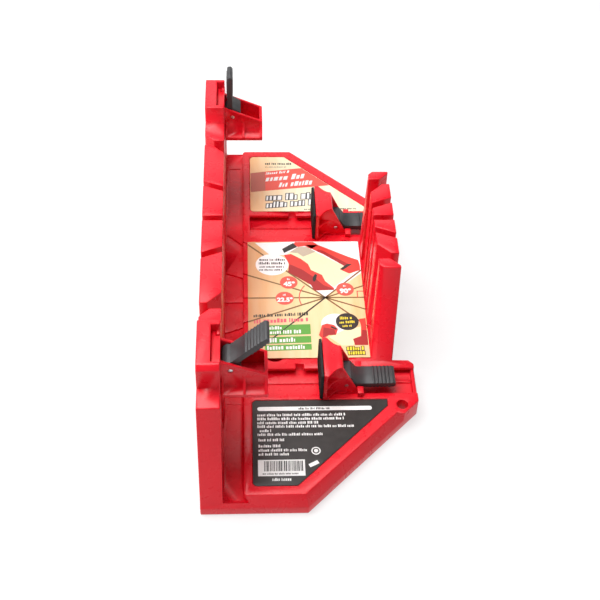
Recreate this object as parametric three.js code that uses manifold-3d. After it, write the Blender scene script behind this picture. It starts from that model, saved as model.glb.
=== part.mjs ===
// A clamping miter box for a hand saw, in millimetres, +Z up.
//
// The origin is at the middle of the underside. The box is long in Y. The tall back fence stands
// on the -X side and the short front fence on the +X side, and the work lies between them.
// Two side clamps run in channels along X and push the work against the back fence. Two top
// clamps run in slots up the back fence's towers and hold the work down. Each clamp is a carriage
// with a T-shaped sled, a pad, and a cam lever on a steel pin that locks it.

import * as THREE from 'three';
import { mergeVertices } from 'three/addons/utils/BufferGeometryUtils.js';
import Module from 'manifold-3d';

const wasm = await Module();
wasm.setup();

// ---------------------------------------------------------------- driving dimensions
const LENGTH = 356;               // along the fences, at the base
const WIDTH = 149;                // across both fences and the wings
const WORK_WIDTH = 105;           // clear space between the fences
const DECK_TOP = 15.5;            // the face that the work lies on
const FENCE_THICK = 14.5;
const FENCE_TOP = 96.5;
const TOWER_TOP = 110;            // raised parts of the back fence that carry the top clamps
const END_TOP = 91;               // lower flats at the two ends of the back fence
const END_TAPER = 15.8;           // how much shorter the back fence is at its end flats
const GAP = 0.3;                  // clearance between neighbouring pieces
const WELD = 1e-3;                // points closer than this are one point
const WALL = 2.6;                 // moulded wall
const DECK_THICK = 3.4;           // the deck itself, over the hollows in its underside
const SAW_SLOT = 4.6;
const SAW_ANGLES = [-45, -22.5, 0, 22.5, 45];

// planes and lines worked out from them
const X_BACK = -WIDTH / 2;                      // outer face of the back fence
const X_WORK = X_BACK + FENCE_THICK;            // inner face of the back fence
const X_FRONT = X_WORK + WORK_WIDTH;            // inner face of the front fence
const X_FRONT_OUT = X_FRONT + FENCE_THICK;
const X_WING = WIDTH / 2;
const Y_END = LENGTH / 2;
const Y_BED = 62;                               // half length of the bed between the wings
const FRONT_HALF_TOP = 49.7;                    // half length of the front fence at its top
const WING_END = 98.7;                          // where the wing's side turns into the diagonal
const X_DIAGONAL = X_WING - (Y_END - WING_END); // where the diagonal meets the end
const X_CROSS = X_WORK + 75;                    // where all five saw lines cross, at Y = 0

const GUTTER = { x1: X_WORK + 13.4, floor: 10, end: Y_END - 1.8 };
const BEVEL = { run: 4.6, low: 7 };             // along the free edges of the deck
const TOWER = { y0: 108, y1: 147, chamfer: 3 };
const HOLE = { x: X_WORK + 122.6, y: 102, r: 4, pad: 7.7 };
const LABEL = {
  x0: X_WORK + 19.4, x1: X_WORK + 112.5, y0: 97.2, y1: 166.6, diagonal: X_WORK + 215, depth: 0.8,
  round: 3,
};
const CARD = { x0: X_WORK + 17, x1: X_FRONT - 1, half: 60, thick: 0.6 };

// T-slot that every clamp runs in
const TRACK = { mouth: 11.2, under: 14.8, lip: 2.6, depth: 5.8 };
const CHANNEL = { y: 80.4, x0: X_WORK + 19, x1: X_WORK + 131.8 };
const SLOT = { y: 126.6, lipTop: 104.5, foot: GUTTER.floor };

// clamps: u is away from the track, v away from the pad, w across
const CLAMP = { halfPlate: 17.5, plate: 2.5, halfBody: 10, wall: 1.8, vTrack: 25, vTop: 12.5 };
const PAD = { thick: 2, teeth: 13 };
const PIVOT = { u: 6, v: 16.5, r: 1.5, bore: 1.8 };
const LEVER = {
  half: 7.8, cam: 5.6, inner: -3.7, outer: 0.1, tip: 34.5, head: 6.3, crown: 3.4, shoulder: 7.4,
};
const TOP_CLAMP_HEIGHT = 78;      // underside of a top clamp's plate, fully raised
const SIDE = { tall: 26, sled: [1, 28.4], feet: true };
const TOP = { tall: 29, sled: [0.5, 26], feet: false };

// ---------------------------------------------------------------- solids and joins
function solid(geometry) {
  const bare = geometry.clone();
  bare.deleteAttribute('normal');
  bare.deleteAttribute('uv');
  const merged = mergeVertices(bare, WELD / 10);
  return new wasm.Manifold(new wasm.Mesh({
    numProp: 3,
    vertProperties: new Float32Array(merged.attributes.position.array),
    triVerts: new Uint32Array(merged.index.array),
  }));
}

// A body's surface, with the near-identical points that cuts leave behind welded into one.
function geometryOf(body) {
  const mesh = body.getMesh();
  const bare = new THREE.BufferGeometry();
  bare.setAttribute('position', new THREE.BufferAttribute(mesh.vertProperties, 3));
  bare.setIndex(new THREE.BufferAttribute(mesh.triVerts, 1));
  const geometry = mergeVertices(bare, WELD);
  const corners = geometry.index.array;
  const kept = [];
  for (let at = 0; at < corners.length; at += 3) {
    const [a, b, c] = corners.subarray(at, at + 3);
    if (a !== b && b !== c && c !== a) {
      kept.push(a, b, c);
    }
  }
  geometry.setIndex(kept);
  geometry.computeVertexNormals();
  return geometry;
}

function joined(parts) {
  return parts.reduce((sum, part) => sum.add(part));
}

function block(x0, x1, y0, y1, z0, z1) {
  const geometry = new THREE.BoxGeometry(x1 - x0, y1 - y0, z1 - z0);
  return solid(geometry.translate((x0 + x1) / 2, (y0 + y1) / 2, (z0 + z1) / 2));
}

function extruded(outline, depth) {
  const shape = outline instanceof THREE.Shape ? outline
    : new THREE.Shape(outline.map(([a, b]) => new THREE.Vector2(a, b)));
  return new THREE.ExtrudeGeometry(shape, { depth, bevelEnabled: false, curveSegments: 5 });
}

// outline in X and Y, pushed up from z0 to z1
function slab(outline, z0, z1) {
  return solid(extruded(outline, z1 - z0).translate(0, 0, z0));
}

// outline in X and Z, pushed along Y from y0 to y1
function barAlongY(outline, y0, y1) {
  return solid(extruded(outline, y1 - y0).rotateX(Math.PI / 2).translate(0, y1, 0));
}

// outline in Y and Z, pushed along X from x0 to x1
function barAlongX(outline, x0, x1) {
  const turn = new THREE.Matrix4().makeBasis(
    new THREE.Vector3(0, 1, 0), new THREE.Vector3(0, 0, 1), new THREE.Vector3(1, 0, 0));
  return solid(extruded(outline, x1 - x0).applyMatrix4(turn).translate(x0, 0, 0));
}

function rodAlongY(radius, x, z, y0, y1, sides) {
  const geometry = new THREE.CylinderGeometry(radius, radius, y1 - y0, sides);
  return solid(geometry.translate(x, (y0 + y1) / 2, z));
}

function rodAlongZ(radius, x, y, z0, z1, sides) {
  const geometry = new THREE.CylinderGeometry(radius, radius, z1 - z0, sides).rotateX(Math.PI / 2);
  return solid(geometry.translate(x, y, (z0 + z1) / 2));
}

function mirrored(points) {
  return points.map(([x, y]) => [x, -y]).reverse();
}

// Points round a corner's centre, from one angle to the other, in degrees.
function arc(x, y, r, from, to) {
  const steps = 4;
  const points = [];
  for (let step = 0; step <= steps; step += 1) {
    const angle = THREE.MathUtils.degToRad(from + ((to - from) * step) / steps);
    points.push([x + r * Math.cos(angle), y + r * Math.sin(angle)]);
  }
  return points;
}

function named(name, body, material) {
  const mesh = new THREE.Mesh(geometryOf(body), new THREE.MeshStandardMaterial(material));
  mesh.name = name;
  return mesh;
}

// ---------------------------------------------------------------- colours
const RED_ABS = { color: 0xe21a22, roughness: 0.28, metalness: 0 };
const BLACK_NYLON = { color: 0x2b2b2d, roughness: 0.5, metalness: 0 };
const BLACK_RUBBER = { color: 0x141414, roughness: 0.85, metalness: 0 };
const BRIGHT_STEEL = { color: 0xc9ccd0, roughness: 0.25, metalness: 1 };
const DARK_LABEL = { color: 0x55524f, roughness: 0.5, metalness: 0 };
const CREAM_LABEL = { color: 0xf6e3bd, roughness: 0.5, metalness: 0 };
const PRINTED_CARD = { color: 0xf3d9b0, roughness: 0.6, metalness: 0 };

// ---------------------------------------------------------------- box body
// Outline of the deck at its -Y end, from the back fence round to the front fence, drawn in by
// inset. The +Y end is its mirror image.
function endOutline(inset) {
  const slant = inset * Math.tan(Math.PI / 8);
  const corner = 3.5;
  return [
    [X_BACK + inset, -Y_END + inset],
    [X_DIAGONAL - slant, -Y_END + inset],
    [X_WING - inset, -WING_END + slant],
    [X_WING - inset, -Y_BED - corner],
    [X_WING - inset - corner, -Y_BED],
    [X_FRONT_OUT - inset, -Y_BED],
  ];
}

function deckOutline(inset) {
  const end = endOutline(inset);
  return [...end, ...mirrored(end)];
}

// The slope taken off the deck's free edges: along X in its own frame, with the edge at y = 0.
function edgeSlope(length) {
  const outside = -4;
  const above = DECK_TOP + 1;
  const slope = BEVEL.run / (DECK_TOP - BEVEL.low);
  const outline = [
    [outside, BEVEL.low],
    [0, BEVEL.low],
    [slope * (above - BEVEL.low), above],
    [outside, above],
  ];
  return barAlongX(outline, 0, length);
}

// The end's slope and the diagonal's, which stops beside the screw hole.
function edgeSlopes(side) {
  const overrun = 6;
  const end = edgeSlope(X_DIAGONAL - X_BACK + overrun).translate(X_BACK, -Y_END, 0);
  const reach = (HOLE.x - X_DIAGONAL + Y_END - HOLE.y) / Math.SQRT2;
  const diagonal = edgeSlope(reach + overrun).translate(-overrun, 0, 0)
    .rotate(0, 0, 45).translate(X_DIAGONAL, -Y_END, 0);
  const both = end.add(diagonal);
  return side < 0 ? both : both.mirror([0, 1, 0]);
}

// Flat round seats for screw heads, level with the deck.
function screwSeats() {
  const seat = rodAlongZ(HOLE.pad, HOLE.x, HOLE.y, 0, DECK_TOP, 40);
  return seat.add(seat.mirror([0, 1, 0])).intersect(slab(deckOutline(0), 0, DECK_TOP));
}

// What is taken off the deck's corners beside the gutter's ends.
function gutterCorners() {
  const cut = 4;
  const start = GUTTER.end - cut;
  const corner = slab([[GUTTER.x1, start], [GUTTER.x1 + cut, GUTTER.end], [GUTTER.x1, GUTTER.end]],
    GUTTER.floor, DECK_TOP + 1);
  return corner.add(corner.mirror([0, 1, 0]));
}

// Shallow panels in the gutter's floor, beside the labels.
function gutterPanels() {
  const margin = 2;
  const deep = 0.6;
  const y0 = 96;
  const y1 = 157;
  const panel = block(X_WORK + margin, GUTTER.x1 - margin, y0, y1,
    GUTTER.floor - deep, GUTTER.floor + 1);
  return panel.add(panel.mirror([0, 1, 0]));
}

// A label's outline, grown all round: it has a cut-off corner beside the deck's diagonal edge.
function labelOutline(side, grow) {
  const low = LABEL.y0 - grow;
  const high = LABEL.y1 + grow;
  const diagonal = LABEL.diagonal + grow * Math.SQRT2;
  const left = LABEL.x0 - grow;
  const right = LABEL.x1 + grow;
  const round = LABEL.round + grow;
  const outline = [
    ...arc(left + round, -high + round, round, 180, 270),
    [diagonal - high, -high],
    [right, right - diagonal],
    [right, -low],
    ...arc(left + round, -low - round, round, 90, 180),
  ];
  return side < 0 ? outline : mirrored(outline);
}

// Clamp channel in the deck: a mouth, an undercut each side for the sled, and a guide line.
function channelCut(side) {
  const y = side * CHANNEL.y;
  const floor = DECK_TOP - TRACK.depth;
  const under = DECK_TOP - TRACK.lip;
  const notch = { x: X_WORK + 50.5, long: 5.5, deep: 4.6 };
  const guide = { y: y + 1.7, half: 0.6, deep: 0.8 };
  return joined([
    block(CHANNEL.x0, CHANNEL.x1, y - TRACK.mouth, y + TRACK.mouth, floor, DECK_TOP + 1),
    block(CHANNEL.x0, CHANNEL.x1, y - TRACK.under, y + TRACK.under, floor, under),
    block(CHANNEL.x1 - 1, X_WING + 1, y - TRACK.mouth, y + TRACK.mouth, under, DECK_TOP + 1),
    block(notch.x, notch.x + notch.long, y, y + TRACK.mouth + notch.deep, floor, DECK_TOP + 1),
    block(CHANNEL.x0, CHANNEL.x1, guide.y - guide.half, guide.y + guide.half,
      floor - guide.deep, floor + 1),
  ]);
}

// Saw lines scored in the deck and in the gutter, through the crossing point.
function sawLines() {
  const half = 0.8;
  const deep = 1.2;
  const reach = WORK_WIDTH;
  const bedEnd = Y_BED - 1;
  const gutterEnd = Y_BED + 30;
  const lines = SAW_ANGLES.map((angle) => block(-reach, reach, -half, half, 0, FENCE_TOP)
    .rotate(0, 0, angle).translate(X_CROSS, 0, 0));
  const bed = block(GUTTER.x1 - 1, X_FRONT, -bedEnd, bedEnd, DECK_TOP - deep, DECK_TOP + 1);
  const gutter = block(X_WORK, GUTTER.x1, -gutterEnd, gutterEnd,
    GUTTER.floor - deep, GUTTER.floor + 1);
  return joined(lines).intersect(bed.add(gutter));
}

// Hollows in the underside, between ribs: columns across X and rows along Y.
function cells(x0, x1, columns, y0, y1, rows, ceiling) {
  const rib = 2.4;
  const wide = (x1 - x0 - rib * (columns - 1)) / columns;
  const long = (y1 - y0 - rib * (rows - 1)) / rows;
  const found = [];
  for (let column = 0; column < columns; column += 1) {
    for (let row = 0; row < rows; row += 1) {
      const x = x0 + column * (wide + rib);
      const y = y0 + row * (long + rib);
      found.push(block(x, x + wide, y, y + long, -1, ceiling));
    }
  }
  return joined(found);
}

function undersideHollows() {
  const deckRoof = DECK_TOP - DECK_THICK;
  const trackRoof = DECK_TOP - TRACK.depth - WALL;
  const x0 = GUTTER.x1 + WALL;
  const x1 = X_WING - 5;
  const rim = 6;
  const boss = HOLE.r + 4.5;
  const bedEnd = Y_BED - WALL;
  const gutterEnd = Y_END - 8;
  const near = Y_BED + WALL;
  const far = CHANNEL.y + TRACK.under + 2;
  const middle = [
    cells(x0, X_FRONT - WALL, 3, -bedEnd, bedEnd, 4, deckRoof),
    cells(X_WORK + WALL, GUTTER.x1 - 1, 1, -gutterEnd, gutterEnd, 11, GUTTER.floor - DECK_THICK),
  ];
  const underTrack = cells(x0, x1, 5, near, far, 1, trackRoof);
  const screw = rodAlongZ(boss, HOLE.x, HOLE.y, -2, DECK_TOP, 24);
  const platform = cells(x0, x1, 4, far + WALL, Y_END, 3, deckRoof)
    .intersect(slab(deckOutline(rim), -1, deckRoof))
    .subtract(screw);
  const wing = underTrack.add(platform);
  return joined([...middle, wing, wing.mirror([0, 1, 0])]);
}

// Shape of a saw slot across a fence, as distance out from the work face and y. The work face is
// reach away from the crossing point. The 45 degree slot widens towards both faces.
function slotOutlines(reach) {
  const over = 1;
  const out = FENCE_THICK + over;
  const half = SAW_SLOT / 2;
  const slope = Math.tan(Math.PI / 8);
  const wide = half / Math.cos(Math.PI / 8);
  const half45 = half * Math.SQRT2;
  const flare = { near: reach + 10.8, far: reach + 6 };   // where its two flat sides lie
  return {
    square: [[-over, -half], [out, -half], [out, half], [-over, half]],
    slanted: [
      [-over, (reach - over) * slope - wide],
      [out, (reach + out) * slope - wide],
      [out, (reach + out) * slope + wide],
      [-over, (reach - over) * slope + wide],
    ],
    diagonal: [
      [-over, reach - over - half45],
      [flare.far - reach + half45, flare.far],
      [out, flare.far],
      [out, reach + out + half45],
      [flare.near - reach - half45, flare.near],
      [-over, flare.near],
    ],
  };
}

function fenceSlots(face, outward) {
  const outlines = slotOutlines(Math.abs(X_CROSS - face));
  const cuts = [slab(outlines.square, DECK_TOP, TOWER_TOP)];
  for (const outline of [outlines.slanted, outlines.diagonal]) {
    const cut = slab(outline, DECK_TOP, TOWER_TOP);
    cuts.push(cut, cut.mirror([0, 1, 0]));
  }
  const all = joined(cuts);
  return (outward > 0 ? all : all.mirror([1, 0, 0])).translate(face, 0, 0);
}

function backFenceProfile() {
  const half = [
    [-Y_END, 0],
    [-Y_END + END_TAPER, END_TOP],
    [-TOWER.y1, END_TOP],
    [-TOWER.y1, TOWER_TOP - TOWER.chamfer],
    [-TOWER.y1 + TOWER.chamfer, TOWER_TOP],
    [-TOWER.y0, TOWER_TOP],
    [-TOWER.y0, FENCE_TOP],
  ];
  return [...half, ...mirroredAcross(half)].reverse();
}

function mirroredAcross(points) {
  return points.map(([y, z]) => [-y, z]).reverse();
}

// T-slot in a tower, open at the top so that the clamp's sled can be dropped in.
function towerSlot(side) {
  const y = side * SLOT.y;
  const back = X_WORK - TRACK.depth;
  const lip = X_WORK - TRACK.lip;
  return joined([
    block(lip - 0.5, X_WORK + 1, y - TRACK.mouth, y + TRACK.mouth, SLOT.foot, TOWER_TOP + 1),
    block(back, lip, y - TRACK.under, y + TRACK.under, SLOT.foot, TOWER_TOP + 1),
    block(back, X_WORK + 1, y - TRACK.under, y + TRACK.under, SLOT.lipTop, TOWER_TOP + 1),
  ]);
}

// Hollows in the back fence, open at the underside, one between each pair of slots.
function backFenceHollows() {
  const x0 = X_BACK + WALL;
  const x1 = X_WORK - WALL;
  const behindTrack = X_WORK - TRACK.depth - WALL;
  const roof = FENCE_TOP - 3;
  const squareEnd = SAW_SLOT / 2 + WALL;
  const half = joined([
    block(x0, x1, squareEnd, 26, -1, roof),
    block(x0, x1, 42, 70, -1, roof),
    block(x0, x1, 94.5, TOWER.y0 - 2, -1, roof),
    block(x0, behindTrack, TOWER.y0 + 5, TOWER.y1 - 5, -1, roof),
    block(x0, x1, TOWER.y1, Y_END - 20, -1, END_TOP - 8),
  ]);
  return half.add(half.mirror([0, 1, 0]));
}

// The front fence stands on the bed and narrows towards its top. Its inner upright corners are
// cut off, and both cuts follow the slope of its ends.
function frontFence() {
  const cut = 3;
  const low = DECK_TOP - 2;
  const spread = Y_BED / FRONT_HALF_TOP - 1;
  const outline = [
    [X_FRONT, -FRONT_HALF_TOP + cut],
    [X_FRONT + cut, -FRONT_HALF_TOP],
    [X_FRONT_OUT, -FRONT_HALF_TOP],
  ];
  const upright = extruded([...outline, ...mirrored(outline)], FENCE_TOP - low).translate(0, 0, low);
  const position = upright.attributes.position;
  for (let index = 0; index < position.count; index += 1) {
    const down = (FENCE_TOP - position.getZ(index)) / (FENCE_TOP - DECK_TOP);
    position.setY(index, position.getY(index) * (1 + spread * down));
  }
  return solid(upright);
}

// Round hollow under the card's edge, for lifting the card out.
function fingerNotch(x, side) {
  const r = 6.8;
  const inward = 4.2;
  const deep = 2.6;
  return rodAlongZ(r, x, side * (CARD.half - inward), DECK_TOP - deep, DECK_TOP + 1, 20);
}

function boxBody() {
  const deck = slab(deckOutline(0), 0, DECK_TOP)
    .subtract(edgeSlopes(-1))
    .subtract(edgeSlopes(1))
    .subtract(block(X_WORK, GUTTER.x1, -GUTTER.end, GUTTER.end, GUTTER.floor, DECK_TOP + 1));
  const back = barAlongX(backFenceProfile(), X_BACK, X_WORK)
    .subtract(fenceSlots(X_WORK, -1));
  const front = frontFence().subtract(fenceSlots(X_FRONT, 1));
  let body = joined([deck, screwSeats(), back, front]);
  for (const side of [-1, 1]) {
    body = body.subtract(channelCut(side))
      .subtract(towerSlot(side))
      .subtract(slab(labelOutline(side, 0.5), DECK_TOP - LABEL.depth, DECK_TOP + 1))
      .subtract(rodAlongZ(HOLE.r, HOLE.x, side * HOLE.y, -1, DECK_TOP + 1, 24));
  }
  return body.subtract(sawLines())
    .subtract(gutterCorners())
    .subtract(gutterPanels())
    .subtract(fingerNotch(X_WORK + 36, -1))
    .subtract(fingerNotch(X_WORK + 95, 1))
    .subtract(undersideHollows())
    .subtract(backFenceHollows());
}

// ---------------------------------------------------------------- labels and card
function label(side) {
  const floor = DECK_TOP - LABEL.depth + GAP;
  return slab(labelOutline(side, 0), floor, floor + GAP);
}

function angleCard() {
  const floor = DECK_TOP + GAP;
  return block(CARD.x0, CARD.x1, -CARD.half, CARD.half, floor, floor + CARD.thick);
}

// ---------------------------------------------------------------- clamps
// Each clamp is built with v along X, w along Y and u along Z, with the pad's plate at v = 0 and
// the face that it slides on at u = 0.
//
// A web that widens from the carriage's body to the plate in a hollow curve.
function gusset(u0, u1) {
  const straight = CLAMP.plate + 0.7;
  const reach = CLAMP.halfPlate - CLAMP.halfBody;
  const run = CLAMP.vTop - straight;
  const half = [[1, CLAMP.halfPlate]];
  for (let step = 0; step <= 4; step += 1) {
    const along = step / 4;
    half.push([straight + run * along, CLAMP.halfBody + reach * (1 - along) ** 2]);
  }
  return slab([...mirrored(half).reverse(), ...half.reverse()], u0, u1);
}

function sled([v0, v1]) {
  const neck = TRACK.mouth - GAP;
  const flange = TRACK.under - GAP;
  const shoulder = -TRACK.lip - GAP;
  return block(v0, v1, -neck, neck, shoulder, 0)
    .add(block(v0, v1, -flange, flange, -TRACK.depth + GAP, shoulder));
}

// A side clamp's two feet, which bear on the deck beside the channel's mouth.
function feet(v1) {
  const inner = CLAMP.halfBody - CLAMP.wall;
  const rear = CLAMP.vTrack - 1;
  const outer = TRACK.under - 0.2;
  const top = 4;
  const foot = block(rear, v1, inner, outer, GAP, top)
    .add(block(rear, v1, inner, TRACK.mouth - GAP, -1, top));
  return foot.add(foot.mirror([0, 1, 0]));
}

function carriage(kind) {
  const { tall } = kind;
  const roof = 2.2;
  const rib = 1.7;
  const root = -0.5;
  const front = CLAMP.plate / 2;
  const side = [
    [front, root],
    [CLAMP.vTrack, root],
    [CLAMP.vTrack, 0],
    [CLAMP.vTop, tall],
    [front, tall],
  ];
  const shell = joined([
    block(0, CLAMP.plate, -CLAMP.halfPlate, CLAMP.halfPlate, GAP, tall),
    barAlongY(side, -CLAMP.halfBody, CLAMP.halfBody),
    gusset(GAP, GAP + rib),
    gusset(tall / 2 - rib / 2, tall / 2 + rib / 2),
    gusset(tall - roof, tall),
  ]);
  const inner = CLAMP.halfBody - CLAMP.wall;
  const trough = block(CLAMP.plate, CLAMP.vTrack + 5, -inner, inner, -1, tall - roof);
  const bore = rodAlongY(PIVOT.bore, PIVOT.v, PIVOT.u, -CLAMP.halfPlate, CLAMP.halfPlate, 16);
  const body = shell.subtract(trough).subtract(bore).add(sled(kind.sled));
  return kind.feet ? body.add(feet(kind.sled[1])) : body;
}

// Finger ridges across a lever's face, as outline points along +v.
function ridges(from, count, face, height) {
  const pitch = 2.6;
  const foot = 0.9;
  const crest = 0.3;
  const points = [];
  for (let index = 0; index < count; index += 1) {
    const at = from + index * pitch;
    points.push([at - foot, face], [at - crest, face + height]);
    points.push([at + crest, face + height], [at + foot, face]);
  }
  return points;
}

// Cam lever, closed: its arm lies along +v. The cam turns about the pin at the origin.
function lever() {
  const { cam, inner, outer, tip, head, crown, shoulder } = LEVER;
  const round = 1;
  const lobe = [];
  for (let turn = 180; turn <= 300; turn += 15) {
    const angle = THREE.MathUtils.degToRad(turn);
    lobe.push([cam * Math.cos(angle), cam * Math.sin(angle)]);
  }
  const heel = { v: 3.6, chamfer: 2.6, back: -3.5 };
  const outline = [
    ...lobe,
    [heel.v, inner],
    ...ridges(17, 6, inner, -0.5),
    [tip - round, inner],
    [tip, inner + round],
    [tip, outer - round],
    [tip - round, outer],
    ...ridges(19.2, 6, outer, 0.5).reverse(),
    [shoulder, outer],
    [crown + 0.4, head - 0.5],
    [crown - 0.4, head],
    [heel.back, head],
    [-cam, head - heel.chamfer],
  ];
  return barAlongY(outline, -LEVER.half, LEVER.half)
    .subtract(rodAlongY(PIVOT.bore, 0, 0, -LEVER.half - 1, LEVER.half + 1, 16));
}

function pin() {
  const half = CLAMP.halfBody - GAP;
  return rodAlongY(PIVOT.r, 0, 0, -half, half, 16);
}

// Rubber pad with ribs that run away from the track.
function pad(tall, half) {
  const back = -GAP;
  const front = -GAP - PAD.thick;
  const groove = front + 0.7;
  const valley = 0.1;
  const pitch = (2 * half) / PAD.teeth;
  const outline = [[back, half], [back, -half]];
  for (let tooth = 0; tooth < PAD.teeth; tooth += 1) {
    const w = -half + tooth * pitch;
    outline.push([groove, w + valley], [front, w + pitch * 0.25]);
    outline.push([front, w + pitch * 0.75], [groove, w + pitch - valley]);
  }
  return slab(outline.reverse(), 1, tall - 0.8);
}

// A whole clamp as a group, with its lever opened by the given angle.
function clamp(name, kind, padHalf, opened) {
  const group = new THREE.Group();
  const turning = new THREE.Group();
  turning.position.set(PIVOT.v, 0, PIVOT.u);
  turning.rotation.y = -THREE.MathUtils.degToRad(opened);
  turning.add(named(`${name}_lever`, lever(), BLACK_NYLON));
  const axle = named(`${name}_pin`, pin(), BRIGHT_STEEL);
  axle.position.set(PIVOT.v, 0, PIVOT.u);
  group.add(named(`${name}_carriage`, carriage(kind), RED_ABS));
  group.add(named(`${name}_pad`, pad(kind.tall, padHalf), BLACK_RUBBER));
  group.add(axle, turning);
  return group;
}

function sideClamp(name, x, side) {
  const group = clamp(name, SIDE, CLAMP.halfPlate - GAP, 0);
  group.position.set(X_WORK + x, side * CHANNEL.y, DECK_TOP);
  return group;
}

function topClamp(name, side, opened) {
  const group = clamp(name, TOP, CLAMP.halfPlate - 3.5, opened);
  const upright = new THREE.Matrix4().makeBasis(
    new THREE.Vector3(0, 0, 1), new THREE.Vector3(0, -1, 0), new THREE.Vector3(1, 0, 0));
  group.setRotationFromMatrix(upright);
  group.position.set(X_WORK, side * SLOT.y, TOP_CLAMP_HEIGHT);
  return group;
}

// ---------------------------------------------------------------- the miter box
const miterBox = new THREE.Group();
miterBox.add(named('box_body', boxBody(), RED_ABS));
miterBox.add(named('near_label', label(-1), DARK_LABEL));
miterBox.add(named('far_label', label(1), CREAM_LABEL));
miterBox.add(named('angle_card', angleCard(), PRINTED_CARD));
miterBox.add(sideClamp('side_clamp_near', 68.1, -1));
miterBox.add(sideClamp('side_clamp_far', 70.3, 1));
miterBox.add(topClamp('top_clamp_near', -1, 45));
miterBox.add(topClamp('top_clamp_far', 1, 0));

export default miterBox;
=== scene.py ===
"""Looks of the clamping miter box: softened mouldings, printed labels and card, studio and camera.

All pieces are in metres in the row's frame. Lengths below are in millimetres and are turned into
metres by MM. X runs from the back fence to the front fence, Y along the fences, Z up.
"""

import math
import random

import bmesh
import bpy
from mathutils import Matrix, Vector


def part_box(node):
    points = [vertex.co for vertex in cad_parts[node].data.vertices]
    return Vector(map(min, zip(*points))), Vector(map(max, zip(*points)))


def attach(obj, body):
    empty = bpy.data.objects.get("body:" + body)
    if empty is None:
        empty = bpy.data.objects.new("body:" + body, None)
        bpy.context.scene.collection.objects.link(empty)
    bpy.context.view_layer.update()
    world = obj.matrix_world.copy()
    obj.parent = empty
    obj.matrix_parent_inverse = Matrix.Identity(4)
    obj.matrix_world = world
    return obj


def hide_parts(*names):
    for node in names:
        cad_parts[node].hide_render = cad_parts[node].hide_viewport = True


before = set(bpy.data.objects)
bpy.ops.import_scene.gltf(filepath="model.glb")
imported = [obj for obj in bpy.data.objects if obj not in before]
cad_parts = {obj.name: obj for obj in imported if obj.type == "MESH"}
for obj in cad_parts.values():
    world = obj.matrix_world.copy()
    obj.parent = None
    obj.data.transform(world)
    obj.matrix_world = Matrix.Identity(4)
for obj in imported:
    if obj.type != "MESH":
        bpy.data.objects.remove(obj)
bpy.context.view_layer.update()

MM = 0.001
CLAMPS = ("side_clamp_near", "side_clamp_far", "top_clamp_near", "top_clamp_far")


# ---------------------------------------------------------------- camera and studio
CAMERA = {
    "at": (-42.8, -554.2, 597.5),     # mm
    "azimuth": 4.013,                 # degrees from +Y towards +X
    "elevation": 46.459,              # degrees below level
    "roll": 2.524,
    "lens": 64.33,                    # mm
    "sensor": 36,                     # mm wide
    "nearest": 0.01,                  # m, nothing nearer is drawn
}
SKY = {
    "horizon": 0.74,                  # strength level with the floor's far edge
    "above": 0.3,                     # strength everywhere above the fade
    "fade": 0.2,                      # height of the fade, as a sine of the elevation
}
LIGHTS = (
    # name, at, aimed at, size in metres, watts
    ("overhead_softbox", (-0.25, 0.1, 1.1), (0, 0, 0.03), (0.9, 0.8), 16),
    ("far_softbox", (-0.15, 1.25, 0.95), (0, 0, 0.05), (1.3, 0.7), 4),
    ("left_softbox", (-1.0, 0.0, 0.75), (0, 0, 0.05), (0.6, 0.8), 7.5),
)
FLOOR = {
    "half": 60,                       # m, from its middle to each side
    "white": (0.3, 0.3, 0.3),
    "glow": 0.65,                     # its own light, so that shadows stay pale
}


def make_camera():
    azimuth, elevation, roll = (math.radians(CAMERA[k]) for k in ("azimuth", "elevation", "roll"))
    forward = Vector((
        math.sin(azimuth) * math.cos(elevation),
        math.cos(azimuth) * math.cos(elevation),
        -math.sin(elevation),
    ))
    level = Vector((math.cos(azimuth), -math.sin(azimuth), 0))
    upright = level.cross(forward)
    right = level * math.cos(roll) + upright * math.sin(roll)
    up = upright * math.cos(roll) - level * math.sin(roll)
    turn = Matrix((right, up, -forward)).transposed().to_4x4()
    data = bpy.data.cameras.new("camera")
    data.lens = CAMERA["lens"]
    data.sensor_width = CAMERA["sensor"]
    data.clip_start = CAMERA["nearest"]
    camera = bpy.data.objects.new("camera", data)
    camera.matrix_world = Matrix.Translation(Vector(CAMERA["at"]) * MM) @ turn
    bpy.context.scene.collection.objects.link(camera)
    bpy.context.scene.camera = camera


def make_light(name, at, aim, size, power):
    data = bpy.data.lights.new(name, "AREA")
    data.shape = "RECTANGLE"
    data.size, data.size_y = size
    data.energy = power
    light = bpy.data.objects.new(name, data)
    light.location = at
    light.rotation_euler = (Vector(aim) - Vector(at)).to_track_quat("-Z", "Y").to_euler()
    bpy.context.scene.collection.objects.link(light)


def make_sky():
    """White, as bright as the floor at the horizon, and darker above it."""
    world = bpy.data.worlds.new("studio")
    bpy.context.scene.world = world
    world.use_nodes = True
    tree = world.node_tree
    background = tree.nodes["Background"]
    background.inputs["Color"].default_value = (1, 1, 1, 1)
    direction = tree.nodes.new("ShaderNodeTexCoord").outputs["Generated"]
    apart = tree.nodes.new("ShaderNodeSeparateXYZ")
    fade = tree.nodes.new("ShaderNodeMapRange")
    fade.inputs["From Min"].default_value = 0.0
    fade.inputs["From Max"].default_value = SKY["fade"]
    fade.inputs["To Min"].default_value = SKY["horizon"]
    fade.inputs["To Max"].default_value = SKY["above"]
    tree.links.new(direction, apart.inputs["Vector"])
    tree.links.new(apart.outputs["Z"], fade.inputs["Value"])
    tree.links.new(fade.outputs["Result"], background.inputs["Strength"])


def make_studio():
    make_sky()
    for light in LIGHTS:
        make_light(*light)
    bpy.context.scene.view_settings.view_transform = "Standard"


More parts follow.
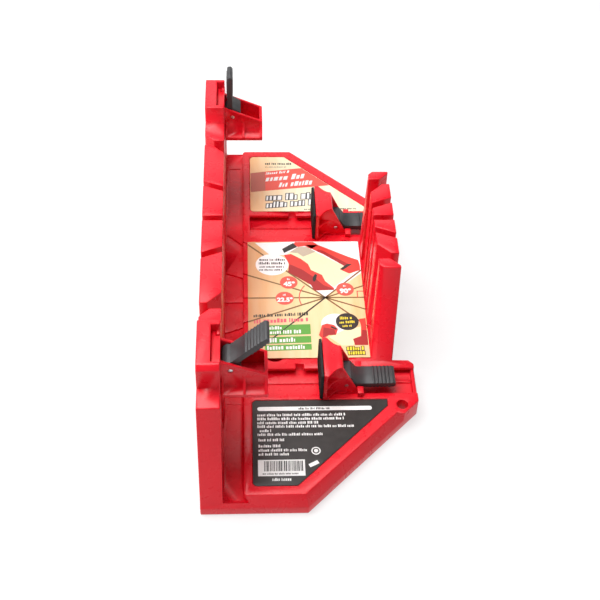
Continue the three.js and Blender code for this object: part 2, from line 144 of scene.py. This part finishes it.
def make_floor():
    half = FLOOR["half"]
    mesh = bpy.data.meshes.new("floor")
    corners = [(-half, -half, 0), (half, -half, 0), (half, half, 0), (-half, half, 0)]
    mesh.from_pydata([Vector(c) for c in corners], [], [(0, 1, 2, 3)])
    floor = bpy.data.objects.new("floor", mesh)
    bpy.context.scene.collection.objects.link(floor)
    mesh.materials.append(floor_material())


# ---------------------------------------------------------------- materials
NOISE_LOW, NOISE_HIGH = 0.3, 0.7      # most of a noise lies between these


class Shader:
    """A new node material with short ways to add nodes to it."""

    def __init__(self, name, roughness=0.5, metallic=0.0, specular=0.5):
        self.material = bpy.data.materials.new(name)
        self.material.use_nodes = True
        self.tree = self.material.node_tree
        self.surface = self.tree.nodes["Principled BSDF"]
        self.surface.inputs["Roughness"].default_value = roughness
        self.surface.inputs["Metallic"].default_value = metallic
        self.surface.inputs["Specular IOR Level"].default_value = specular
        self.place = self.tree.nodes.new("ShaderNodeTexCoord").outputs["Object"]

    def link(self, source, target):
        self.tree.links.new(source, target)

    def stretched(self, scale):
        """Object coordinates stretched by a scale for each axis."""
        node = self.tree.nodes.new("ShaderNodeMapping")
        node.inputs["Scale"].default_value = scale
        self.link(self.place, node.inputs["Vector"])
        return node.outputs["Vector"]

    def noise(self, grain, detail=2.0, vector=None):
        """Noise from 0 to 1 whose blobs are about grain millimetres across."""
        node = self.tree.nodes.new("ShaderNodeTexNoise")
        node.inputs["Scale"].default_value = 1 / (grain * MM)
        node.inputs["Detail"].default_value = detail
        self.link(vector or self.place, node.inputs["Vector"])
        return node.outputs["Fac"]

    def ramp(self, source, stops):
        """Colours at places from 0 to 1 along source."""
        node = self.tree.nodes.new("ShaderNodeValToRGB")
        elements = node.color_ramp.elements
        while len(elements) < len(stops):
            elements.new(0.5)
        for element, (place, colour) in zip(elements, stops):
            element.position = place
            element.color = (*colour, 1)
        self.link(source, node.inputs["Fac"])
        return node.outputs["Color"]

    def along_x(self, x0, x1):
        """0 to 1 from x0 to x1 millimetres."""
        apart = self.tree.nodes.new("ShaderNodeSeparateXYZ")
        self.link(self.place, apart.inputs["Vector"])
        node = self.tree.nodes.new("ShaderNodeMapRange")
        node.inputs["From Min"].default_value = x0 * MM
        node.inputs["From Max"].default_value = x1 * MM
        self.link(apart.outputs["X"], node.inputs["Value"])
        return node.outputs["Result"]

    def multiplied(self, first, second):
        node = self.tree.nodes.new("ShaderNodeMix")
        node.data_type = "RGBA"
        node.blend_type = "MULTIPLY"
        node.inputs["Factor"].default_value = 1.0
        self.link(first, node.inputs["A"])
        self.link(second, node.inputs["B"])
        return node.outputs["Result"]

    def spread(self, source, low, high):
        """A noise mapped to low to high."""
        node = self.tree.nodes.new("ShaderNodeMapRange")
        node.inputs["From Min"].default_value = NOISE_LOW
        node.inputs["From Max"].default_value = NOISE_HIGH
        node.inputs["To Min"].default_value = low
        node.inputs["To Max"].default_value = high
        self.link(source, node.inputs["Value"])
        return node.outputs["Result"]

    def colour(self, source):
        self.link(source, self.surface.inputs["Base Color"])

    def mottled(self, colour, source, low, high):
        """The colour times low to high, as a noise says."""
        stops = [(NOISE_LOW, shade(colour, low)), (NOISE_HIGH, shade(colour, high))]
        self.colour(self.ramp(source, stops))

    def roughness(self, source, low, high):
        """Roughness from low to high, as a noise says."""
        self.link(self.spread(source, low, high), self.surface.inputs["Roughness"])

    def bump(self, source, height):
        """Raised by source times height millimetres, on top of any bump already there."""
        node = self.tree.nodes.new("ShaderNodeBump")
        node.inputs["Distance"].default_value = height * MM
        self.link(source, node.inputs["Height"])
        below = self.surface.inputs["Normal"].links
        if below:
            self.link(below[0].from_socket, node.inputs["Normal"])
        self.link(node.outputs["Normal"], self.surface.inputs["Normal"])


def shade(colour, factor):
    return tuple(channel * factor for channel in colour)


def floor_material():
    shader = Shader("pale_floor", roughness=0.9, specular=0.0)
    shader.surface.inputs["Emission Color"].default_value = (1, 1, 1, 1)
    shader.surface.inputs["Emission Strength"].default_value = FLOOR["glow"]
    shader.mottled(FLOOR["white"], shader.noise(40), 0.99, 1)
    return shader.material


def red_abs():
    """Glossy moulded plastic with the faint waves and grain of a mould."""
    shader = Shader("red_abs", specular=0.34)
    shader.mottled((0.74, 0.006, 0.018), shader.noise(30, detail=3), 0.95, 1.04)
    shader.roughness(shader.noise(9, detail=4), 0.24, 0.34)
    shader.bump(shader.noise(14, detail=0), 0.012)
    shader.bump(shader.noise(0.6, detail=2), 0.0005)
    return shader.material


def black_nylon():
    shader = Shader("black_nylon", specular=0.5)
    shader.mottled((0.035, 0.035, 0.037), shader.noise(4, detail=4), 0.85, 1.2)
    shader.roughness(shader.noise(2, detail=3), 0.4, 0.55)
    shader.bump(shader.noise(0.25, detail=2), 0.012)
    return shader.material


def black_rubber():
    shader = Shader("black_rubber", specular=0.3)
    shader.mottled((0.012, 0.012, 0.012), shader.noise(3, detail=4), 1, 1.9)
    shader.roughness(shader.noise(1.5, detail=3), 0.7, 0.9)
    shader.bump(shader.noise(0.4, detail=3), 0.03)
    return shader.material


def bright_steel():
    """Drawn wire, with its streaks along Y."""
    shader = Shader("bright_steel", metallic=1.0)
    drawn = shader.noise(0.15, detail=2, vector=shader.stretched((1, 0.03, 1)))
    shader.mottled((0.62, 0.63, 0.65), drawn, 0.8, 1)
    shader.roughness(drawn, 0.18, 0.34)
    shader.bump(drawn, 0.006)
    return shader.material


def ink(name, colour):
    """Printing ink, a little uneven and very slightly rough, as on a glossy film."""
    shader = Shader(f"{name}_ink", specular=0.4)
    uneven = shader.noise(1.2, detail=3)
    shader.mottled(colour, uneven, 0.93, 1)
    shader.roughness(uneven, 0.4, 0.51)
    return shader.material


def film_surface(shader):
    """The gloss and slight waves of a thin film stuck to a moulding."""
    shader.roughness(shader.noise(1.5, detail=3), 0.38, 0.5)
    shader.bump(shader.noise(5, detail=1), 0.01)


FILM_SPAN = (-42, 48)                 # mm along X


def printed_film(name, left, right, grain, contrast):
    """Film or card printed from one colour at its left to another, with faint wood grain along Y."""
    shader = Shader(name, specular=0.4)
    across = shader.along_x(*FILM_SPAN)
    tint = shader.ramp(across, [(0.0, left), (0.45, right)])
    figure = shader.noise(grain, detail=3, vector=shader.stretched((1, 0.12, 1)))
    bands = shader.ramp(figure, [(0.3, (1, 1 - contrast, 1 - 2 * contrast)), (0.6, (1, 1, 1))])
    shader.colour(shader.multiplied(tint, bands))
    film_surface(shader)
    return shader.material


def dark_film():
    shader = Shader("dark_film", specular=0.3)
    shader.mottled((0.042, 0.036, 0.034), shader.noise(6, detail=4), 0.85, 1.15)
    film_surface(shader)
    return shader.material


MATERIALS = {
    "red_abs": red_abs(),
    "black_nylon": black_nylon(),
    "black_rubber": black_rubber(),
    "bright_steel": bright_steel(),
    "dark_label": dark_film(),
    "cream_label": printed_film("cream_film", (0.84, 0.52, 0.26), (0.91, 0.86, 0.64), 7, 0.12),
    "printed_card": printed_film("wood_grain_card", (0.71, 0.41, 0.21), (0.79, 0.68, 0.38), 7, 0.14),
}
INK_COLOURS = {
    "white": (0.9, 0.9, 0.88),
    "pale_wood": (0.9, 0.83, 0.5),
    "grey_wood": (0.5, 0.44, 0.33),
    "dark_red": (0.36, 0.02, 0.02),
    "red": (0.72, 0.05, 0.035),
    # painted shade: the duller red of the far label stripe's left end
    "stripe_shade_red": (0.53, 0.13, 0.09),
    "bright_red": (0.82, 0.1, 0.07),
    "brown": (0.21, 0.11, 0.035),
    "black": (0.025, 0.022, 0.02),
    "green": (0.11, 0.38, 0.05),
    "pink": (0.75, 0.12, 0.16),
    "yellow": (0.8, 0.72, 0.04),
}
INKS = {name: ink(name, colour) for name, colour in INK_COLOURS.items()}


# ---------------------------------------------------------------- softened mouldings
SAME_PLACE = 0.002                    # mm, corners closer than this are one
SAME_PLANE = 0.8                      # degrees, faces turned by less than this are one
SHADED_SHARP = 38                     # degrees, edges turned by more than this look sharp
BEVEL_ROOM = 0.42                     # the part of the room beside an edge that its bevel may take
LEAST_BEVEL = 0.12                    # an edge with room for less than this share stays as it is
BLUNT_ROOM = 0.3                      # the part of a neighbour's length that always counts as room


def softened(node, name, width, segments=3, sharpest=25):
    """A copy of a CAD node with its edges rounded to width millimetres where there is room."""
    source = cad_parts[node]
    mesh = source.data.copy()
    mesh.name = name
    mesh.materials.clear()
    piece = bpy.data.objects.new(name, mesh)
    bpy.context.scene.collection.objects.link(piece)
    work = bmesh.new()
    work.from_mesh(mesh)
    bmesh.ops.remove_doubles(work, verts=work.verts, dist=SAME_PLACE * MM)
    flat = math.radians(SAME_PLANE)
    bmesh.ops.dissolve_limit(work, angle_limit=flat, verts=work.verts, edges=work.edges)
    many_sided = [face for face in work.faces if len(face.verts) > 4]
    bmesh.ops.triangulate(work, faces=many_sided, ngon_method="BEAUTY")
    set_bevel_weights(work, width * MM, math.radians(sharpest))
    work.to_mesh(mesh)
    work.free()
    bevel = piece.modifiers.new("edges", "BEVEL")
    bevel.limit_method = "WEIGHT"
    bevel.width = width * MM
    bevel.segments = segments
    bevel.use_clamp_overlap = False
    bevel.loop_slide = False
    bevel.miter_outer = "MITER_ARC"
    normals = piece.modifiers.new("normals", "WEIGHTED_NORMAL")
    normals.keep_sharp = True
    apply_modifiers(piece)
    return piece


def set_bevel_weights(work, width, sharpest):
    """Each sharp convex edge's share of the width, from the room along the edges that meet it."""
    weights = work.edges.layers.float.new("bevel_weight_edge")
    for edge in work.edges:
        if len(edge.link_faces) != 2 or not edge.is_convex or edge.calc_face_angle(0) < sharpest:
            continue
        room = edge.calc_length()
        along = (edge.verts[1].co - edge.verts[0].co).normalized()
        for vert in edge.verts:
            for other in vert.link_edges:
                if other is edge:
                    continue
                across = other.other_vert(vert).co - vert.co
                sine = along.cross(across).length
                room = min(room, max(sine, BLUNT_ROOM * across.length))
        share = min(1.0, BEVEL_ROOM * room / width)
        edge[weights] = share if share > LEAST_BEVEL else 0


def apply_modifiers(piece):
    """The piece's modifiers made into its mesh, with smooth shading between its sharp edges."""
    depsgraph = bpy.context.evaluated_depsgraph_get()
    mesh = bpy.data.meshes.new_from_object(piece.evaluated_get(depsgraph))
    old = piece.data
    piece.modifiers.clear()
    piece.data = mesh
    bpy.data.meshes.remove(old)
    for polygon in mesh.polygons:
        polygon.use_smooth = True
    mesh.set_sharp_from_angle(angle=math.radians(SHADED_SHARP))


def moulded(node, body, slot, width, **options):
    """A softened copy that stands for a CAD node, in the material of its slot."""
    piece = softened(node, f"{node}_finish", width, **options)
    piece.data.materials.append(MATERIALS[slot])
    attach(piece, body)
    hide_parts(node)


def make_mouldings():
    moulded("box_body", "box", "red_abs", 0.8)
    for clamp in CLAMPS:
        moulded(f"{clamp}_carriage", clamp, "red_abs", 0.4)
        moulded(f"{clamp}_pad", clamp, "black_rubber", 0.2, segments=2)
        moulded(f"{clamp}_pin", clamp, "bright_steel", 0.25, segments=2, sharpest=50)
        moulded(f"{clamp}_lever", f"{clamp}_lever", "black_nylon", 0.4)


# ---------------------------------------------------------------- outlines for printing
# Outlines are lists of (x, y) in millimetres in the row's frame.
OVAL_POINTS = 36
ARC_STEPS = 12


def rectangle(x0, x1, y0, y1, rise=0.0):
    """A rectangle whose long sides climb by rise for each millimetre along X."""
    climb = rise * (x1 - x0)
    return [(x0, y0), (x1, y0 + climb), (x1, y1 + climb), (x0, y1)]


def oval(x, y, rx, ry, turn=0.0):
    c, s = math.cos(math.radians(turn)), math.sin(math.radians(turn))
    outline = []
    for step in range(OVAL_POINTS):
        angle = 2 * math.pi * step / OVAL_POINTS
        a, b = rx * math.cos(angle), ry * math.sin(angle)
        outline.append((x + a * c - b * s, y + a * s + b * c))
    return outline


def capsule(x0, x1, y, tall):
    """A level bar with round ends."""
    r = tall / 2
    right = arc(x1 - r, y, r, -90, 90)
    return right + arc(x0 + r, y, r, 90, 270)


def arc(x, y, radius, start, stop):
    sweep = stop - start
    angles = [math.radians(start + sweep * k / ARC_STEPS) for k in range(ARC_STEPS + 1)]
    return [(x + radius * math.cos(a), y + radius * math.sin(a)) for a in angles]


def stroke(x0, y0, x1, y1, width):
    along = Vector((x1 - x0, y1 - y0)).normalized()
    side = Vector((-along.y, along.x)) * width / 2
    corners = ((x0, y0, 1), (x0, y0, -1), (x1, y1, -1), (x1, y1, 1))
    return [(x + side.x * k, y + side.y * k) for x, y, k in corners]


def arc_stroke(x, y, radius, start, stop, width):
    return arc(x, y, radius, start, stop) + arc(x, y, radius - width, stop, start)


def grown(outline, margin):
    """An outline with each corner moved out from its middle."""
    cx = sum(x for x, _ in outline) / len(outline)
    cy = sum(y for _, y in outline) / len(outline)
    return [(x + math.copysign(margin, x - cx), y + math.copysign(margin, y - cy)) for x, y in outline]


MARKS = {                             # sizes are shares of a row's height
    "in_word": (3, 7),
    "width": (0.2, 0.5),
    "heights": (0.7, 0.85, 1.0),
    "gap": 0.17,
    "word_gap": 0.35,
    "least_room": 0.5,
}


def marks(draw, x0, x1, y, tall, rise=0.0, lean=0.0):
    """Plain blocks in a row, grouped as words are, which stand for printed text."""
    outlines = []
    x = x0
    while x < x1 - MARKS["least_room"] * tall:
        for _ in range(draw.randint(*MARKS["in_word"])):
            wide = tall * draw.uniform(*MARKS["width"])
            high = tall * draw.choice(MARKS["heights"])
            if x + wide > x1:
                break
            low = y + rise * (x - x0)
            block = rectangle(x, x + wide, low, low + high, rise)
            outlines.append([(a + lean * (b - low), b) for a, b in block])
            x += wide + MARKS["gap"] * tall
        x += MARKS["word_gap"] * tall
    return outlines


def rows_of_marks(draw, rows, rise=0.0):
    """Marks along each of several rows of (x0, x1, y, height)."""
    return [mark for x0, x1, y, tall in rows for mark in marks(draw, x0, x1, y, tall, rise)]


# ---------------------------------------------------------------- printing
class Sheet:
    """A printed surface. Each ink layer on it is one piece of thin plates, above the layer before."""
    SUNK = 0.02                       # mm that each plate reaches into the surface
    FIRST = 0.02                      # mm that the first layer stands above it
    STEP = 0.012                      # mm from each layer to the next

    def __init__(self, node, slot):
        self.node = node
        self.slot = slot
        self.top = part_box(node)[1][2] / MM
        self.layers = 0

    def next_top(self):
        self.layers += 1
        return self.top + self.FIRST + self.STEP * (self.layers - 1)

    def finish(self, work, name, ink_name):
        mesh = bpy.data.meshes.new(f"{self.node}_{name}")
        work.to_mesh(mesh)
        work.free()
        mesh.materials.append(INKS[ink_name])
        piece = bpy.data.objects.new(mesh.name, mesh)
        bpy.context.scene.collection.objects.link(piece)
        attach(piece, "box")

    def print(self, name, ink_name, outlines):
        top = self.next_top()
        work = bmesh.new()
        for outline in outlines:
            add_plate(work, outline, self.top - self.SUNK, top)
        self.finish(work, name, ink_name)

    def print_figures(self, name, ink_name, figures):
        """Figures are (text, x, y, height). Only numbers are printed as real characters."""
        top = self.next_top()
        work = bmesh.new()
        for text, x, y, tall in figures:
            add_figures(work, text, x, y, tall, self.top - self.SUNK, top)
        self.finish(work, name, ink_name)


def add_plate(work, outline, z0, z1):
    low = [work.verts.new((x * MM, y * MM, z0 * MM)) for x, y in outline]
    high = [work.verts.new((x * MM, y * MM, z1 * MM)) for x, y in outline]
    faces = [work.faces.new(high), work.faces.new(list(reversed(low)))]
    for index, corner in enumerate(low):
        after = (index + 1) % len(low)
        faces.append(work.faces.new((corner, low[after], high[after], high[index])))
    bmesh.ops.recalc_face_normals(work, faces=faces)


FONT_SIZE = 1.4                       # the font's size for figures 1 tall
FONT_BOLD = 0.05                      # how far outlines grow, as a share of the size


def add_figures(work, text, x, y, tall, z0, z1):
    curve = bpy.data.curves.new("figures", "FONT")
    curve.body = text
    curve.size = FONT_SIZE * tall * MM
    curve.extrude = (z1 - z0) / 2 * MM
    curve.offset = FONT_BOLD * curve.size
    curve.align_x = "CENTER"
    curve.align_y = "CENTER"
    holder = bpy.data.objects.new("figures", curve)
    bpy.context.scene.collection.objects.link(holder)
    depsgraph = bpy.context.evaluated_depsgraph_get()
    mesh = bpy.data.meshes.new_from_object(holder.evaluated_get(depsgraph))
    mesh.transform(Matrix.Translation(Vector((x, y, (z0 + z1) / 2)) * MM))
    work.from_mesh(mesh)
    bpy.data.objects.remove(holder)
    bpy.data.curves.remove(curve)
    bpy.data.meshes.remove(mesh)


# ---------------------------------------------------------------- what is printed on the card
CROSSING = (15.0, -1.0)               # mm, where the printed saw lines cross
SAW_ANGLES = (-45, -22.5, 0, 22.5, 45)
LONG_LINE_ANGLE = 225                 # degrees, the one line that crosses the card's text
CARD_EDGE = {"x0": -43.0, "x1": 44.0, "half": 60.0}     # mm, where the lines end


def ray(angle):
    """From the crossing to the card's edge, angle degrees from +X."""
    x, y = CROSSING
    dx, dy = math.cos(math.radians(angle)), math.sin(math.radians(angle))
    reach = []
    if dx:
        reach.append(((CARD_EDGE["x1"] if dx > 0 else CARD_EDGE["x0"]) - x) / dx)
    if dy:
        reach.append((math.copysign(CARD_EDGE["half"], dy) - y) / dy)
    length = min(reach)
    return x, y, x + dx * length, y + dy * length


def card_picture(card):
    """A simple picture of a box with a plank in it, standing on white, and of a corner clamp."""
    behind = [
        (-8, 60), (44, 60), (44, 25), (15.5, -0.4), (7, 6.4), (-14, 45), (-25.7, 45.1), (-37.2, 58.7),
    ]
    below = oval(21, -28, 10.5, 10.5)
    card.print("white_ground", "white", [behind, below])
    rays = [stroke(*ray(side + angle), 1.3) for side in (0, 180) for angle in SAW_ANGLES]
    card.print("saw_lines", "brown", rays)
    plank = [(-12.4, 46.1), (-3.5, 54), (3.5, 54), (12.6, 46), (29.8, 33.6), (37.5, 25.4), (22.2, 10)]
    low_plank = [(15.5, -40.5), (26.8, -33.8), (41.8, -30), (38.8, -39.8), (32.4, -48.4), (24.5, -48.8)]
    card.print("plank", "pale_wood", [plank, low_plank])
    near_wall = [
        (-14.8, 45), (-9.3, 46.1), (-1.7, 40.5), (3.5, 34.9), (5.5, 28.3), (13.7, 22.9), (15.7, 16.4),
        (22.1, 8.9), (22, 6.8), (6.8, 6.4), (4.8, 12.2), (-12.2, 26.3), (-11.2, 35),
    ]
    far_wall = [
        (2.1, 56.2), (12.3, 56.1), (35.8, 42.4), (42.6, 39.1), (43.5, 33.5), (43.5, 28), (34.6, 24.3),
        (27.9, 28.7), (32, 32), (15.7, 45.9), (10.4, 49.3),
    ]
    end_wall = [
        (-5.7, 59.7), (8.5, 59.6), (12.3, 56.1), (6.6, 51.6), (2, 55.1), (-3.5, 54), (-7.4, 56.3),
    ]
    clamp = [
        (11, -28.7), (14.8, -27.3), (19.8, -28.8), (22.5, -32.8), (20.7, -38.6), (15.6, -38.6),
        (11, -42.4), (8.3, -38.5),
    ]
    corner = [
        (32.8, -42.6), (38.8, -39.8), (39.6, -30), (38.6, -23), (43.5, -22.2), (43.5, -48.5),
        (33.8, -48.4),
    ]
    plank_end = [(-10.5, 48), (-3.5, 54), (3.5, 54), (10, 48.5), (0, 43), (-4, 47)]
    card.print("plank_end", "grey_wood", [plank_end])
    card.print("picture_red", "red", [near_wall, far_wall, end_wall, clamp, corner])
    shades = [
        [
            (-11.2, 35), (-1.5, 29), (6, 22), (14.5, 12), (22, 8), (22, 6.8), (6.8, 6.4), (4.8, 12.2),
            (-12.2, 26.3),
        ],
        [(10.4, 49.3), (15.7, 45.9), (32, 32), (35, 34.5), (16, 49.5), (12, 51)],
        [(12, -31), (19.8, -33), (20.7, -38.6), (15.6, -38.6), (11, -41)],
        [(32.8, -42.6), (38.8, -39.8), (40, -34), (43.5, -34), (43.5, -48.5), (33.8, -48.4)],
    ]
    card.print("picture_dark_red", "dark_red", shades)
    levers = [
        [(-16.1, 51.8), (-7.3, 58.5), (-4.3, 54), (-14.7, 47.3)],
        [(27.9, 29.3), (33.7, 34.7), (37.6, 34.7), (30.2, 28.2)],
        [(6.7, 20.8), (8.4, 24), (9.9, 22.9), (8.9, 17.5), (7.2, 15.4), (6.2, 17.6)],
        stroke(17.5, -30.5, 21.5, -33, 1.5),
    ]
    card.print("picture_black", "black", levers)


OVAL_TOPS = ((-12, 17.6), (-15.6, 1.2), (30.3, 10.2))    # mm, where each oval's small marks stand


def card_balloons(card):
    """A pale balloon, and the red ovals and arcs that name the saw angles."""
    pale = oval(-24.3, 34.4, 12.7, 11.6)
    card.print("pale_balloon", "white", [pale])
    ovals = [oval(-12, 15.1, 6.7, 6.6), oval(-15.6, -1.5, 6.8, 6.7), oval(30.3, 7.5, 6.7, 6.8)]
    angle_arc = arc_stroke(*CROSSING, 20, 140, 201, 0.8)
    corner = [stroke(39.3, 5.4, 44, 5.4, 0.8), stroke(39.3, 5.8, 39.3, -1, 0.8)]
    card.print("red_ovals", "bright_red", [*ovals, angle_arc, *corner])
    card.print_figures("degrees", "white", [
        ("45\u00b0", -11.6, 13.2, 4.4),
        ("22.5\u00b0", -15.4, -3.2, 4.0),
        ("90\u00b0", 30.6, 5.6, 4.4),
    ])


def card_text(card, draw):
    """Green bars, a dark balloon, and marks in the places of the card's text."""
    bars = [
        rectangle(-31, 2.5, -38.6, -28.8, 0.03),
        rectangle(-31, 2.5, -46.6, -40.4, 0.03),
        rectangle(-31, 2.5, -53.4, -48, 0.03),
    ]
    card.print("green_bars", "green", bars)
    dark_balloon = oval(29.7, -25.6, 8.4, 8.4)
    long_line = stroke(*ray(LONG_LINE_ANGLE), 0.9)
    rows = [(-34, -14, 38.6, 2.4), (-34.5, -13.5, 34.6, 2.6), (-34, -14.5, 31, 1.8), (-34.5, -16, 27.8, 1.8)]
    small = rows_of_marks(draw, rows)
    heading = marks(draw, -39, 1.2, -20.6, 3, 0.04)
    patch = rows_of_marks(draw, [(27.7, 41, -53.4, 3.4), (28.5, 41, -57.6, 3.4)], 0.02)
    card.print("black_marks", "black", [dark_balloon, long_line, *small, *heading])
    card.print("black_edges", "black", [grown(mark, 0.5) for mark in patch])
    card.print("pink_marks", "pink", marks(draw, -38.7, 1.8, -26.8, 4, 0.05))
    rows = [(-29.5, -17, -33, 3), (-29.5, -3.5, -37.4, 3.4), (-29.5, -7, -45.4, 4), (-29.5, 0, -52.4, 3.8)]
    light = rows_of_marks(draw, rows, 0.03)
    tops = rows_of_marks(draw, [(x - 1.2, x + 1.4, y, 1.8) for x, y in OVAL_TOPS])
    card.print("white_marks", "white", light + tops)
    rows = [(24.5, 35, -23.6, 2.8), (24, 35.6, -27.6, 2.4), (26, 34, -31, 2.2)]
    bright = rows_of_marks(draw, rows, 0.06)
    card.print("yellow_marks", "yellow", bright + patch)


def print_card(draw):
    moulded("angle_card", "box", "printed_card", 0.15, segments=2)
    card = Sheet("angle_card", "printed_card")
    card_picture(card)
    card_balloons(card)
    card_text(card, draw)


# ---------------------------------------------------------------- what is printed on the labels
SEAL = (1.3, -139.7)                  # mm
NEAR_ROW_HEIGHT = 2.2                 # mm
CODE_BARS = (0.3, 0.5, 0.8)           # mm wide
CODE_GAPS = (0.3, 0.4, 0.6)           # mm wide


def print_near_label(draw):
    """White marks on dark film, a bar code of random bars, a plain ring and a plain bar."""
    moulded("near_label", "box", "dark_label", 0.08, segments=2)
    label = Sheet("near_label", "dark_label")
    left = -37.2
    header = capsule(left, 41.3, -104.5, 3.4)
    rows = [
        (left, 23.5, -110.8), (left, 22, -114.1), (left, 4.5, -117.4), (left, 30, -120.5),
        (-35.7, -27.2, -124), (left, 6.5, -127.1), (-36.6, -17.5, -131.6), (-36.7, -22, -136.5),
        (-36.7, -4, -139.9), (-36.7, -15, -143.1), (-28, -14.5, -163),
    ]
    text = rows_of_marks(draw, [(*row, NEAR_ROW_HEIGHT) for row in rows])
    code = rectangle(left, -6.4, -159.2, -146.5)
    label.print("white_areas", "white", [header, code, oval(*SEAL, 3.1, 3.1), *text])
    bars = code_bars(draw, left + 4, -8, -155.5, -147.5)
    grounds = [oval(*SEAL, 2.3, 2.3), oval(0.4, -149.5, 5.6, 3.1, 27)]
    title = marks(draw, -9, 13, -105.4, 1.9)
    digits = marks(draw, left + 3, -10, -158.1, 1.3)
    label.print("black_areas", "black", [*bars, *grounds, *title, *digits])
    badge = stroke(-3.6, -151.6, 2.4, -148.4, 2.8)
    label.print("white_details", "white", [oval(*SEAL, 1.4, 1.4), badge])


def code_bars(draw, x0, x1, y0, y1):
    """Upright bars of random widths, which mean nothing."""
    bars = []
    x = x0
    while x < x1:
        wide = draw.choice(CODE_BARS)
        bars.append(rectangle(x, x + wide, y0, y1))
        x += wide + draw.choice(CODE_GAPS)
    return bars


def print_far_label(draw):
    """A red stripe whose left end is darker as painted shade, and marks on cream film."""
    moulded("far_label", "box", "cream_label", 0.08, segments=2)
    label = Sheet("far_label", "cream_label")
    # Painted shade: the stripe's left end is printed in a duller red than the rest, standing for the darker
    # side of a reflection across the film.
    stripe_painted_shade = [(-40.2, 121), (-28, 122.6), (-28, 147.2), (-40.2, 145.2)]
    stripe = [(-28, 122.6), (25.2, 129.4), (2.8, 151.8), (-28, 147.2)]
    label.print("stripe_painted_shade", "stripe_shade_red", [stripe_painted_shade])
    label.print("stripe", "bright_red", [stripe])
    rows = [(-27.7, -4.4, 156.3, 2.6), (-27.8, -9.9, 152.8, 1), (28, 46, 99.4, 1.6), (3, 12, 98.8, 1.4)]
    label.print("black_marks", "black", rows_of_marks(draw, rows))
    bold = []
    for x0, x1, y, tall, rise in ((-27.6, 15, 110.5, 7.4, 0.06), (-27.6, 14, 101.4, 6.8, 0.1)):
        bold += marks(draw, x0, x1, y, tall, rise, 0.08)
    label.print("black_edges", "black", [grown(mark, 0.7) for mark in bold])
    for x0, x1, y, tall in ((-27.5, -7.5, 143.2, 3.2), (-28, 4, 134.4, 6.8), (-17, 12, 127, 5.8)):
        bold += marks(draw, x0, x1, y, tall, 0.13, 0.25)
    label.print("white_marks", "white", bold)


PRINTING_SEED = 7

make_camera()
make_studio()
make_floor()
make_mouldings()
printing = random.Random(PRINTING_SEED)
print_card(printing)
print_near_label(printing)
print_far_label(printing)
